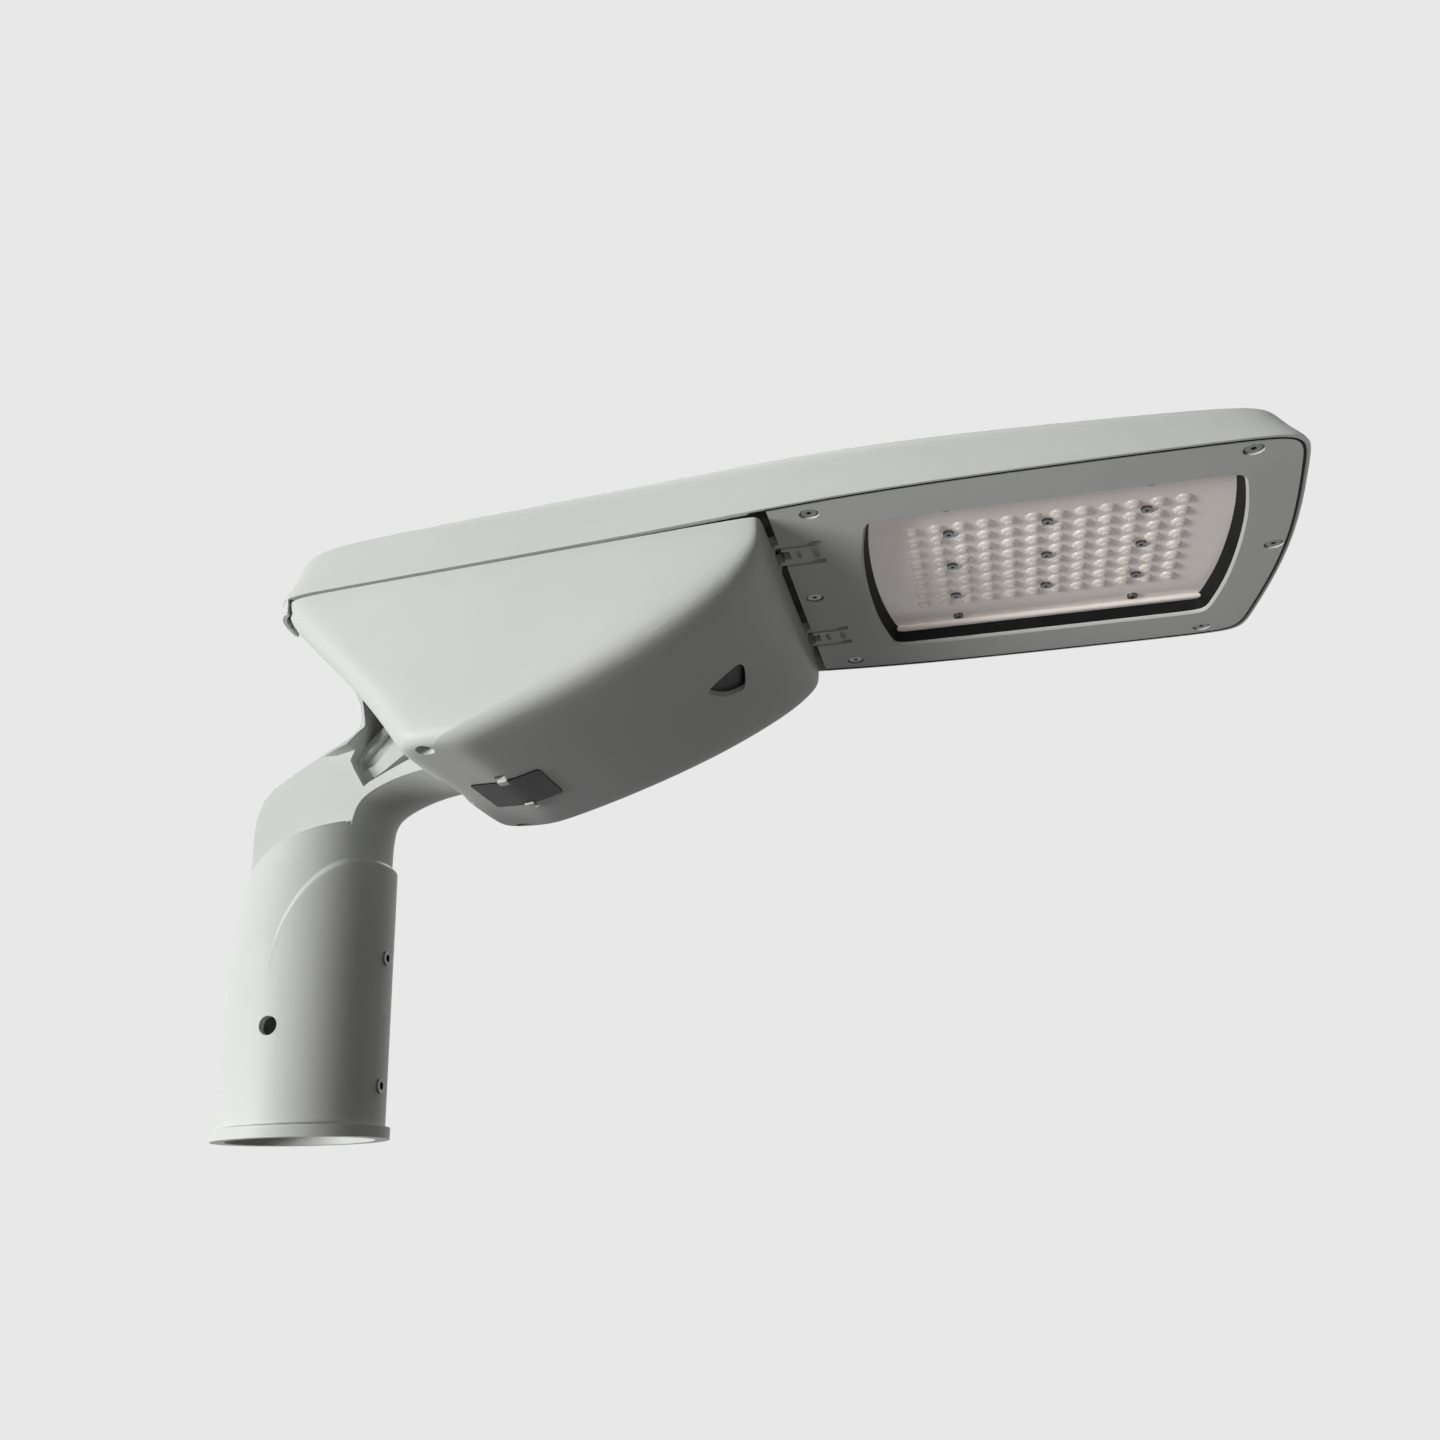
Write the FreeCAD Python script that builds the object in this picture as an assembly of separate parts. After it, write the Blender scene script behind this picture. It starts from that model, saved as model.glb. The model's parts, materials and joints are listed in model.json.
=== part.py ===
import FreeCAD, Part
import math
import os

V = FreeCAD.Vector
os.makedirs("parts", exist_ok=True)

# All lengths are in millimetres. The origin is the centre of the pole socket's mouth, +Z runs up the
# socket's axis and +X runs towards the lamp end of the head.

# Pole socket and bracket
SOCKET_BORE_R = 38.5
SOCKET_WALL = 4.9
SOCKET_R = SOCKET_BORE_R + SOCKET_WALL
SOCKET_DEPTH = 110.0
COLLAR_LIP = 2.6
COLLAR_H = 6.0
NECK_R = 38.5
NECK_X = 2.0
NECK_BORE_R = 30.0
NECK_BORE_TOP = 132.0
SHOULDER_LOW = 98.0
SHOULDER_HIGH = 148.0
ARCH_TOP = 145.0
ARCH_DROP = 100.0
ARCH_REACH = 41.0
ARCH_ROUND = 3.5
SET_SCREW_HEIGHTS = (26.5, 94.5)
SET_SCREW_R = 4.0
SET_SCREW_PROUD = 1.2
LOCK_HOLE_R = 5.0
LOCK_HOLE_Z = 55.7
CROSS_REACH = 80.0
ARM_HALF = 26.0
NOTCH_HALF = 50.0
FOOT_TOP = 279.5
FOOT_T = 7.5
FOOT_END = 92.0
FOOT_BOLTS_X = (40.0, 76.0)
FOOT_BOLTS_Y = 31.0
FOOT_BOLT_R = 4.0
FOOT_BOLT_HEAD_R = 6.5
FOOT_BOLT_HEAD_H = 6.0
FOOT_BOLT_REACH = 16.0
WASHER_T = 1.6

# Head outline
RIM_Z = 280.0
REAR_X = 2.0
FRONT_X = 546.0
DIVIDE_X = 280.0
GAP = 1.4
ROOF_H = 32.6
ROOF_FALL = 0.02
ROOF_CROWN = 7.8
ROOF_TOP_H = 43.5
ROOF_TOP_FALL = 0.015
ROOF_WALL = 3.0
RIM_WALL = 1.9
RIM_SKIN = 0.8
RIM_DROP = 1.0
COVER_HALF = 80.5
COVER_FLARE = 0.095
COVER_WALL = 2.8
NOTCH_FRONT = 83.5
NOTCH_Z = 222.0
NOTCH_LOW_HALF = 28.0
NOTCH_CORNER = 8.0
RIM_STEP = 0.8
RIM_ROUND_REAR = 30.0
RIM_ROUND_FRONT = 24.0
RIM_BOW = 7.0
SWELL_START = 262.0
SWELL_LENGTH = 110.0
SWELL = 11.0
SOFTEN = 0.12
APRON_DROP = 9.0
APRON_X = 13.0
LEDGE_UP = 1.6
LEDGE_T = 3.0
LEDGE_REACH = 9.0
SEAT_REAR = 274.0
SEAT_DEPTH = 8.2
POST_TOP = 60.0
HEAD_REACH = FRONT_X - REAR_X

# Lamp frame, window and hinge
FRAME_T = 5.0
FRAME_CLEAR = 0.7
FRAME_REAR = 283.4
WINDOW_REAR = 322.3
WINDOW_FRONT = 519.3
WINDOW_HALF = 82.5
WINDOW_BOW = 6.6
WINDOW_CORNER = 11.0
WINDOW_LIP = 1.8
GASKET_REACH = 5.0
GASKET_LEAN = 3.0
LENS_Z = RIM_Z + 10.4
LENS_T = 2.5
FRAME_SCREWS = ((303.5, 98.5), (303.5, -98.5), (292.0, 0.0), (512.0, 105.0), (512.0, -105.0), (537.0, 0.0))
SCREW_RECESS_R = 5.0
SCREW_RECESS_H = 2.6
SCREW_SUNK = 0.7
FRAME_SCREW_R = 2.0
FRAME_SCREW_HEAD_R = 3.9
FRAME_SCREW_REACH = 10.0
FRAME_POST_R = 5.0
HINGE_X = 297.0
HINGE_Z = 285.2
HINGE_PIN_R = 1.6
HINGE_FIT = 0.06
HINGE_ARM_Y = (46.2, 66.8)
HINGE_ARM_T = 3.6
HINGE_EYE_R = 4.6
HINGE_ROOT_X = 277.6
HINGE_SLOT_CLEAR = 0.9
HINGE_CUT_FRONT = 305.0
HINGE_BOSS = (288.4, 302.0, 7.4)
HINGE_BOSS_TOP = 9.8
HINGE_WELL = (281.4, 287.4, 4.5)
HINGE_GROOVES = ((290.8, 293.0, 4.5), (299.4, 302.4, 5.5))
HINGE_GROOVE_DEPTH = 2.0
HINGE_PIN_HALF = 12.8

# Lamp panel
LENS_COLS = 12
LENS_ROWS = 8
# The outer rows of lenses and these two places hold no chip.
CHIP_GAPS = ((0, LENS_ROWS - 2), (LENS_COLS - 1, 1))
LENS_PITCH_X = 12.5
LENS_PITCH_Y = 13.2
LENS_FIRST_X = 351.0
LENS_R = 4.3
LENS_H = 2.4
BOARD_T = 1.6
CHIP = 3.2
CHIP_H = 0.8
SINK_T = 3.0
SINK_FIN_H = 4.5
SINK_FIN_HALF = 1.2
SINK_FIN_PITCH = 12.0
SINK_FINS = 9
BOARD_X = (334.0, 506.0)
BOARD_HALF = 76.0
SINK_X = (330.0, 508.0)
FIN_X = (338.0, 490.0)
SINK_SCREWS_X = (338.0, 502.0)
SINK_SCREWS_Y = 68.0
SINK_SCREW_REACH = 3.5
BOARD_NOTCH = 9.0
PANEL_SCREW_SIDES = (369.5, 470.5)
PANEL_SCREW_MIDDLE = 420.5
PANEL_SCREW_ROWS = (-39.6, 0.0, 39.6)
PANEL_SCREW_OUTER = 68.9
PANEL_SCREW_R = 1.5
PANEL_SCREW_HEAD_R = 3.0
PANEL_SCREW_HEAD_H = 1.6
SMALL_SCREW_R = 1.5
SMALL_SCREW_HEAD_R = 3.0
SMALL_SCREW_HEAD_H = 2.0
SMALL_POST_R = 5.0

# Gear compartment
WALL_X = (270.6, 274.6)
LEAD_Y = -26.0
LEAD_Z = 291.5
LEAD_R = 2.2
LEAD_PATH = ((254.0, LEAD_Z), (296.0, LEAD_Z), (311.0, LEAD_Z + 9.5), (336.0, LEAD_Z + 9.5))
GROMMET_R = 4.5
GROMMET_LIP = 2.0
GROMMET_LIP_T = 1.6
WALL_HALF = 110.0
TRAY_Z = 297.0
TRAY_T = 1.5
TRAY_X = (124.0, 262.0)
TRAY_HALF = 66.0
TRAY_SCREW_INSET = 8.0
TRAY_SCREW_REACH = 11.0
DRIVER = (132.0, 254.0, -48.0, 16.0, 34.0)
DRIVER_ROUND = 3.0
SURGE_BOX = (196.0, 248.0, 22.0, 50.0, 26.0)
TERMINALS = (138.0, 180.0, 26.0, 48.0, 18.0)
TERMINAL_PITCH = 14.0
TERMINAL_HOLE_R = 3.0
TERMINAL_HOLE_DEPTH = 6.0
CLOSE_X = 95.0
CLOSE_Y = 75.0
CLOSE_TUBE_R = 7.4
CLOSE_HEAD_R = 4.2
CLOSE_SHANK_R = 2.5
CLOSE_SEAT_Z = 216.0
CLOSE_REACH = 7.0
CLOSE_HEAD_H = 4.0
CLOSE_POST_R = 7.0
CLOSE_HOLE_CLEAR = 0.8
FOOT_POST_R = 9.0
PLATE_C = (115.0, 8.0)
PLATE_SIZE = (40.0, 44.0)
PLATE_T = 0.8
PLATE_ROUND = 2.0
HOOK_HALF = 2.6
HOOK_OVER = 2.6
HOOK_ROOT = 3.2
HOOK_T = 1.3
HOOK_HOLE_R = 3.0
HOOK_HOLE_GAP = 0.6
GLAND_R = 13.0
GLAND_NUT_T = 7.0
GLAND_DOME = 12.0
GLAND_BORE_R = 5.0
PLUG_CORNERS = ((228.0, -8.0), (250.0, -17.0), (252.0, -8.0), (247.0, 20.0), (236.0, 12.0))
PLUG_EDGE = 3.0
PLUG_T = 2.0
GASKET_FLANGE = 8.0
GASKET_INSET = 3.8
FLANGE_T = 2.4


def block(x0, x1, y0, y1, z0, z1):
    return Part.makeBox(x1 - x0, y1 - y0, z1 - z0, V(x0, y0, z0))


def rod(x, y, z0, z1, r):
    return Part.makeCylinder(r, z1 - z0, V(x, y, z0), V(0, 0, 1))


def rod_y(x, z, y0, y1, r):
    return Part.makeCylinder(r, y1 - y0, V(x, y0, z), V(0, 1, 0))


def rod_x(x0, x1, y, z, r):
    return Part.makeCylinder(r, x1 - x0, V(x0, y, z), V(1, 0, 0))


def slab_y(points, y0, y1):
    corners = [V(x, y0, z) for x, z in points]
    return Part.Face(Part.makePolygon(corners + corners[:1])).extrude(V(0, y1 - y0, 0))


def joined(shapes):
    return shapes[0].fuse(shapes[1:]).removeSplitter() if len(shapes) > 1 else shapes[0]


def save(shape, name):
    shape.exportStep("parts/" + name + ".step")


def hex_socket(x, y, z0, depth, across):
    corners = [V(x + across / 1.732 * math.cos(math.radians(60 * k)),
                 y + across / 1.732 * math.sin(math.radians(60 * k)), z0) for k in range(6)]
    return Part.Face(Part.makePolygon(corners + corners[:1])).extrude(V(0, 0, depth))


def loop_poles(rear_x, front_x, half, corner_rear, corner_front, height, bow=0.0):
    first = rear_x + corner_rear
    last = front_x - bow - corner_front
    half_rear = half(first)
    half_front = half(last)
    side = [(rear_x, 0.0),
            (rear_x, 0.5 * (half_rear - corner_rear)),
            (rear_x, half_rear - corner_rear),
            (rear_x + SOFTEN * corner_rear, half_rear - SOFTEN * corner_rear)]
    for step in range(6):
        x = first + (last - first) * step / 5.0
        side.append((x, half(x)))
    side.append((front_x - bow - SOFTEN * corner_front, half_front - SOFTEN * corner_front))
    side.append((front_x - bow, half_front - corner_front))
    side.append((front_x - 0.3 * bow, 0.5 * (half_front - corner_front)))
    side.append((front_x, 0.0))
    near = [V(x, -y, height(x)) for x, y in side]
    far = [V(x, y, height(x)) for x, y in reversed(side[1:-1])]
    return near + far


def outline(poles):
    count = len(poles)
    curve = Part.BSplineCurve()
    curve.buildFromPolesMultsKnots(poles, [1] * (count + 1), [float(k) for k in range(count + 1)], True, 3)
    return Part.Wire([curve.toShape()])


def prism(poles, height):
    return Part.Face(outline(poles)).extrude(V(0, 0, height))


def skin(rows):
    levels = len(rows)
    count = len(rows[0])
    poles = [[rows[v][u] for v in range(levels)] for u in range(count)]
    surface = Part.BSplineSurface()
    surface.buildFromPolesMultsKnots(poles, [1] * (count + 1), [4] + [1] * (levels - 4) + [4],
                                     [float(k) for k in range(count + 1)],
                                     [float(k) for k in range(levels - 2)], True, False, 3, 3)
    side = surface.toShape()
    ends = [Part.Face(Part.Wire([edge])) for edge in side.Edges if edge.isClosed()]
    shell = Part.makeShell([side] + ends)
    shell.sewShape()
    solid = Part.makeSolid(shell)
    if solid.Volume < 0:
        solid.reverse()
    return solid


# Housing: a long shallow shell with a rounded shoulder and a roof that falls towards the lamp end.
# Each row is the share of the roof height, then the inset of the sides, the rear and the front.
ROOF_ROWS = ((0.0, 0.0, 0.0, 0.0), (0.10, 0.2, 0.8, 0.6), (0.36, 3.0, 7.0, 5.5), (0.75, 4.2, 9.6, 10.5),
             (0.89, 7.2, 20.5, 13.5), (1.0, 15.2, 46.0, 30.5))
ROOF_TOP_INSETS = (52.0, 84.0, 68.0)


def head_half(x):
    if x < SWELL_START:
        return COVER_HALF + RIM_STEP + COVER_FLARE * x
    share = min((x - SWELL_START) / SWELL_LENGTH, 1.0)
    return COVER_HALF + RIM_STEP + COVER_FLARE * SWELL_START + SWELL * (1.0 - (1.0 - share) ** 3)


def roof_loop(side, rear, front, height):
    return loop_poles(REAR_X + rear, FRONT_X - front, lambda x: head_half(x) - side,
                      RIM_ROUND_REAR - 0.12 * rear, RIM_ROUND_FRONT + 0.1 * front, height, RIM_BOW)


def roof_solid(inset, drop):
    base = RIM_Z - drop
    middle = 0.5 * FRONT_X
    rows = []
    for share, side, rear, front in ROOF_ROWS:
        def height(x):
            crown = ROOF_CROWN * (1.0 - ((x - middle) / middle) ** 2)
            return base + share * (ROOF_H - ROOF_FALL * x + crown)
        rows.append(roof_loop(side + inset, rear + inset, front + inset, height))
    side, rear, front = ROOF_TOP_INSETS
    rows.append(roof_loop(side + inset, rear + inset, front + inset,
                          lambda x: base + ROOF_TOP_H - ROOF_TOP_FALL * x))
    return skin(rows)


def rim_loop(inset, z0, z1):
    poles = loop_poles(REAR_X + inset, FRONT_X - inset, lambda x: head_half(x) - inset, RIM_ROUND_REAR,
                       RIM_ROUND_FRONT, lambda x: z0, RIM_BOW)
    return prism(poles, z1 - z0)


# Gear cover: a deep wedge. Each row is height, rear end, front end, side inset and corner roundings.
COVER_ROWS = ((RIM_Z - GAP, 5.5, DIVIDE_X, 0.0, 30.0, 7.0), (274.0, 5.5, DIVIDE_X, 0.0, 30.0, 7.0),
              (268.0, 8.5, DIVIDE_X, 0.4, 30.0, 9.0), (261.0, 15.0, 276.5, 0.9, 29.0, 15.0),
              (250.0, 25.5, 266.5, 1.4, 28.0, 21.0), (236.0, 39.5, 245.5, 2.0, 27.0, 26.0),
              (222.0, 52.5, 219.5, 2.6, 26.0, 28.0), (208.0, 63.5, 186.5, 3.4, 26.0, 28.0),
              (196.0, 72.5, 153.0, 4.2, 24.0, 26.0), (187.0, 78.5, 122.0, 6.0, 20.0, 20.0),
              (185.2, 83.0, 115.0, 12.0, 14.0, 14.0), (185.2, 90.0, 108.0, 24.0, 6.0, 8.0))
STEEP_Z = 265.0


def cover_solid(inset):
    rows = []
    for z, rear, front, side, round_rear, round_front in COVER_ROWS:
        upright = z > STEEP_Z
        lift = 0.0 if upright else 0.88 * inset
        back = inset * (1.0 if upright else 0.75)
        ahead = inset * (1.0 if upright else 0.35)
        rows.append(loop_poles(rear + back, front - ahead,
                               lambda x: COVER_HALF + COVER_FLARE * x - side - inset,
                               round_rear, round_front, lambda x: z + lift))
    return skin(rows)


def cover_ring(inset, z0, z1):
    z, rear, front, side, round_rear, round_front = COVER_ROWS[0]
    poles = loop_poles(rear + inset, front - inset, lambda x: COVER_HALF + COVER_FLARE * x - inset,
                       round_rear, round_front, lambda x: z0)
    return prism(poles, z1 - z0)


def foot_bolt_points():
    return [(x, y) for x in FOOT_BOLTS_X for y in (-FOOT_BOLTS_Y, FOOT_BOLTS_Y)]


# Elbow of the bracket: each row is the underside point, the top point and the half width of one
# section across the pipe-like bend, from the neck up to the foot.
ELBOW_ROWS = (((40.5, 112.0), (-36.5, 112.0), NECK_R), ((40.5, 126.0), (-36.5, 126.0), NECK_R),
              ((40.5, 146.0), (-36.5, 146.0), NECK_R), ((40.5, 166.0), (-37.5, 172.0), NECK_R + 1.0),
              ((43.0, 178.0), (-30.0, 189.5), NECK_R + 2.0), ((55.0, 185.0), (-6.0, 201.5), NECK_R + 3.0),
              ((70.0, 189.0), (18.0, 216.0), NECK_R + 3.0), ((84.0, 189.0), (44.0, 236.0), NECK_R + 3.0),
              ((94.0, 189.0), (60.0, 244.0), NECK_R + 3.0))
ELBOW_SIDES = 16
# Flange and foot seen from the side, then their half width at each height.
FLANGE_SIDE = ((-24.0, 176.0), (-23.0, 183.0), (-17.5, 189.5), (-7.0, 196.5), (6.0, 204.2), (17.6, 211.0),
               (27.5, 216.0), (32.5, 220.5), (35.2, 226.0),
               (36.0, 232.0), (34.5, 238.5), (31.0, 244.0), (25.5, 251.0), (18.0, 260.0), (12.8, 268.0),
               (11.0, FOOT_TOP), (FOOT_END, FOOT_TOP), (FOOT_END, 205.0), (40.0, 190.0), (0.0, 172.0))
FLANGE_HALF = ((212.0, 26.0), (NOTCH_Z + 1, 27.0), (229.0, 31.0), (238.0, 37.0), (250.0, 43.0),
               (262.0, 46.0), (FOOT_TOP, 47.0))
# The flat sides of the bend start above this line on the neck.
FLAT_SIDE = ((-60.0, 128.0), (-40.0, 136.0), (-25.0, 143.5), (-10.0, 152.0), (5.0, 158.5), (18.0, 163.0),
             (29.0, 166.5), (34.0, 160.0), (130.0, 160.0), (130.0, 225.0), (60.0, 215.0), (20.0, 206.0),
             (-60.0, 206.0))
# Side pocket, then the three deeper cells that leave the two fanned ribs standing in it.
POCKET = ((28.2, 202.6), (31.0, 196.5), (37.1, 186.2), (40.2, 188.6), (51.5, 194.2), (63.4, 199.7),
          (FOOT_END + 1, 213.0), (FOOT_END + 1, FOOT_TOP - FOOT_T), (16.5, FOOT_TOP - FOOT_T), (18.0, 265.0),
          (24.0, 256.0), (30.5, 248.0), (36.0, 241.0), (37.8, 235.0), (38.0, 230.8), (37.0, 224.7),
          (35.3, 218.6), (32.9, 212.6), (31.0, 208.9))
CELL_REAR = ((33.4, 213.8), (42.0, 221.6), (82.0, 261.0), (82.0, 271.0), (17.5, 271.0), (24.5, 256.8),
             (35.9, 241.5), (37.8, 235.0), (37.6, 230.8), (36.8, 224.7), (35.1, 218.6))
CELL_MID = ((30.0, 202.4), (33.7, 206.2), (44.6, 218.0), (88.0, 260.0), (88.0, 250.0), (50.5, 213.8),
            (43.9, 206.0), (39.8, 201.3), (32.2, 197.5))
CELL_LOW = ((36.5, 191.5), (45.2, 197.2), (56.6, 205.7), (90.0, 228.0), (93.5, 214.0), (63.4, 200.0),
            (51.5, 194.5), (40.6, 189.2))
RIB_HALF = 18.0
CELL_REAR_HALF = 11.0
CELL_MID_HALF = 14.0
CELL_LOW_HALF = 12.0
DUCT_R = 9.0
DUCT_PATH = ((NECK_X, 150.0), (6.0, 182.0), (30.0, 200.0), (FOOT_END + 10.0, 218.0))


def elbow_section(under, top, half):
    mid_x = 0.5 * (under[0] + top[0])
    mid_z = 0.5 * (under[1] + top[1])
    swell = 3.0 / (2.0 + math.cos(2 * math.pi / ELBOW_SIDES))
    points = []
    for k in range(ELBOW_SIDES):
        turn = 2 * math.pi * k / ELBOW_SIDES
        reach = 0.5 * swell * math.cos(turn)
        points.append(V(mid_x + reach * (under[0] - top[0]), swell * half * math.sin(turn),
                        mid_z + reach * (under[1] - top[1])))
    return points


def both_sides(corners, near, far):
    return [slab_y(corners, near, far), slab_y(corners, -far, -near)]


def flange():
    edge = [V(0, y, z) for z, y in FLANGE_HALF] + [V(0, -y, z) for z, y in reversed(FLANGE_HALF)]
    edge = [V(0, -ARM_HALF, 150.0), V(0, ARM_HALF, 150.0)] + edge
    front = Part.Face(Part.makePolygon(edge + edge[:1])).extrude(V(200, 0, 0))
    front.translate(V(-60, 0, 0))
    return slab_y(FLANGE_SIDE, -CROSS_REACH, CROSS_REACH).common(front)


def spigot_bracket():
    elbow = skin([elbow_section(under, top, half) for under, top, half in ELBOW_ROWS])
    shoulder = Part.makeLoft([Part.Wire([Part.makeCircle(SOCKET_R, V(0, 0, SHOULDER_LOW))]),
                              Part.Wire([Part.makeCircle(NECK_R, V(NECK_X, 0, SHOULDER_HIGH))])], True, True)
    arch = Part.Ellipse(V(0, 0, 0), ARCH_DROP, ARCH_REACH).toShape()
    arch.rotate(V(0, 0, 0), V(1, 0, 0), 90)
    arch.rotate(V(0, 0, 0), V(0, 1, 0), 90)
    arch.translate(V(SOCKET_R, -CROSS_REACH, ARCH_TOP - ARCH_DROP))
    arched = Part.Face(Part.Wire([arch])).extrude(V(0, 2 * CROSS_REACH, 0))
    raised = rod(0, 0, ARCH_TOP - ARCH_DROP - 5, ARCH_TOP + 10, SOCKET_R).common(arched)
    rim = [edge for edge in raised.Edges if edge.BoundBox.YLength > 1 and edge.BoundBox.ZLength > 1]
    raised = raised.makeFillet(ARCH_ROUND, rim)
    pipe = joined([rod(0, 0, 0, SHOULDER_LOW, SOCKET_R), rod(0, 0, 0, COLLAR_H, SOCKET_R + COLLAR_LIP),
                   shoulder, raised, elbow])
    for cut in both_sides(FLAT_SIDE, ARM_HALF, CROSS_REACH):
        pipe = pipe.cut(cut)
    body = pipe.fuse(flange()).common(block(-80, FOOT_END, -CROSS_REACH, CROSS_REACH, 0, FOOT_TOP))
    for corners, depth in ((POCKET, RIB_HALF), (CELL_REAR, CELL_REAR_HALF), (CELL_MID, CELL_MID_HALF),
                           (CELL_LOW, CELL_LOW_HALF)):
        for cut in both_sides(corners, depth, CROSS_REACH):
            body = body.cut(cut)
    body = body.cut(rod(0, 0, -1, SOCKET_DEPTH, SOCKET_BORE_R))
    body = body.cut(rod(NECK_X, 0, SOCKET_DEPTH - 1, NECK_BORE_TOP, NECK_BORE_R))
    body = body.cut(Part.makeCone(NECK_BORE_R, DUCT_R, NECK_BORE_R - DUCT_R, V(NECK_X, 0, NECK_BORE_TOP)))
    for start, end in zip(DUCT_PATH[:-1], DUCT_PATH[1:]):
        way = V(end[0] - start[0], 0, end[1] - start[1])
        body = body.cut(Part.makeCylinder(DUCT_R, way.Length, V(start[0], 0, start[1]), way))
        body = body.cut(Part.makeSphere(DUCT_R, V(end[0], 0, end[1])))
    body = body.cut(rod_y(0, LOCK_HOLE_Z, -CROSS_REACH, CROSS_REACH, LOCK_HOLE_R))
    for z in SET_SCREW_HEIGHTS:
        body = body.cut(rod_x(SOCKET_BORE_R - 10, SOCKET_R + 10, 0, z, SET_SCREW_R))
    for x, y in foot_bolt_points():
        body = body.cut(rod(x, y, FOOT_TOP - FOOT_T - 1, FOOT_TOP + 1, FOOT_BOLT_R + 0.5))
    return body


def set_screws():
    parts = []
    for z in SET_SCREW_HEIGHTS:
        screw = rod_x(SOCKET_BORE_R + 0.4, SOCKET_R + SET_SCREW_PROUD, 0, z, SET_SCREW_R)
        socket = hex_socket(0, 0, 0, 3.0, 4.0)
        socket.rotate(V(0, 0, 0), V(0, 1, 0), 90)
        socket.translate(V(SOCKET_R + SET_SCREW_PROUD - 2.6, 0, z))
        parts.append(screw.cut(socket))
    return Part.makeCompound(parts)


def foot_bolts():
    parts = []
    for x, y in foot_bolt_points():
        z = FOOT_TOP - FOOT_T - WASHER_T
        head = rod(x, y, z - FOOT_BOLT_HEAD_H, z, FOOT_BOLT_HEAD_R)
        bolt = head.fuse(rod(x, y, z, FOOT_TOP + FOOT_BOLT_REACH, FOOT_BOLT_R))
        parts.append(bolt.cut(hex_socket(x, y, z - FOOT_BOLT_HEAD_H, 3.5, 6.0)))
    return Part.makeCompound(parts)


def foot_washers():
    z = FOOT_TOP - FOOT_T
    washers = []
    for x, y in foot_bolt_points():
        disc = rod(x, y, z - WASHER_T, z, FOOT_BOLT_HEAD_R + 1.2)
        washers.append(disc.cut(rod(x, y, z - 2, z + 1, FOOT_BOLT_R + 0.2)))
    return Part.makeCompound(washers)


def frame_seat():
    z0, z1 = RIM_Z - 5, RIM_Z + SEAT_DEPTH
    seat = rim_loop(RIM_WALL, z0, z1).common(block(SEAT_REAR, FRONT_X, -HEAD_REACH, HEAD_REACH, z0, z1))
    return seat.common(roof_solid(RIM_SKIN, RIM_DROP))


def apron():
    ring = rim_loop(0.3, RIM_Z - APRON_DROP, RIM_Z + 2)
    ring = ring.cut(rim_loop(RIM_WALL, RIM_Z - APRON_DROP - 1, RIM_Z + 3))
    ring = ring.common(block(REAR_X, APRON_X, -HEAD_REACH, HEAD_REACH, RIM_Z - APRON_DROP, RIM_Z + 2))
    return ring.cut(block(REAR_X - 1, APRON_X + 1, -NOTCH_HALF, NOTCH_HALF, RIM_Z - APRON_DROP - 1, RIM_Z))


def gasket_ledge():
    ring = rim_loop(1.2, RIM_Z + LEDGE_UP, RIM_Z + LEDGE_UP + LEDGE_T)
    ring = ring.cut(cover_ring(LEDGE_REACH, RIM_Z, RIM_Z + 8))
    return ring.common(block(REAR_X, HINGE_ROOT_X - 0.4, -HEAD_REACH, HEAD_REACH, RIM_Z, RIM_Z + 8))


def post_places():
    top = RIM_Z + POST_TOP
    posts = [rod(x, y, RIM_Z + FRAME_T + 0.2, top, FRAME_POST_R) for x, y in FRAME_SCREWS]
    posts += [rod(x, y, FOOT_TOP, top, FOOT_POST_R) for x, y in foot_bolt_points()]
    posts += [rod(CLOSE_X, y, RIM_Z + LEDGE_UP, top, CLOSE_POST_R) for y in (-CLOSE_Y, CLOSE_Y)]
    posts += [rod(x, y, TRAY_Z + TRAY_T, top, SMALL_POST_R) for x, y in tray_points()]
    posts += [rod(x, y, sink_top(), top, SMALL_POST_R) for x, y in sink_points()]
    return posts


def top_housing():
    shell = roof_solid(0.0, 0.0).cut(roof_solid(ROOF_WALL, ROOF_WALL)).cut(frame_seat())
    wall = block(WALL_X[0], WALL_X[1], -WALL_HALF, WALL_HALF, RIM_Z + LEDGE_UP, RIM_Z + POST_TOP)
    inside = Part.makeCompound([wall, gasket_ledge()] + post_places()).common(roof_solid(0.5, 0.5))
    body = shell.fuse([apron()] + inside.Solids).cut(housing_holes())
    return body.removeSplitter()


def tray_points():
    return [(x, y) for x in (TRAY_X[0] + TRAY_SCREW_INSET, TRAY_X[1] - TRAY_SCREW_INSET)
            for y in (-TRAY_HALF + TRAY_SCREW_INSET, TRAY_HALF - TRAY_SCREW_INSET)]


def sink_points():
    return [(x, y) for x in SINK_SCREWS_X for y in (-SINK_SCREWS_Y, SINK_SCREWS_Y)]


def sink_bottom():
    return LENS_Z + LENS_T + 1.0 + BOARD_T


def sink_top():
    return sink_bottom() + SINK_T


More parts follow.
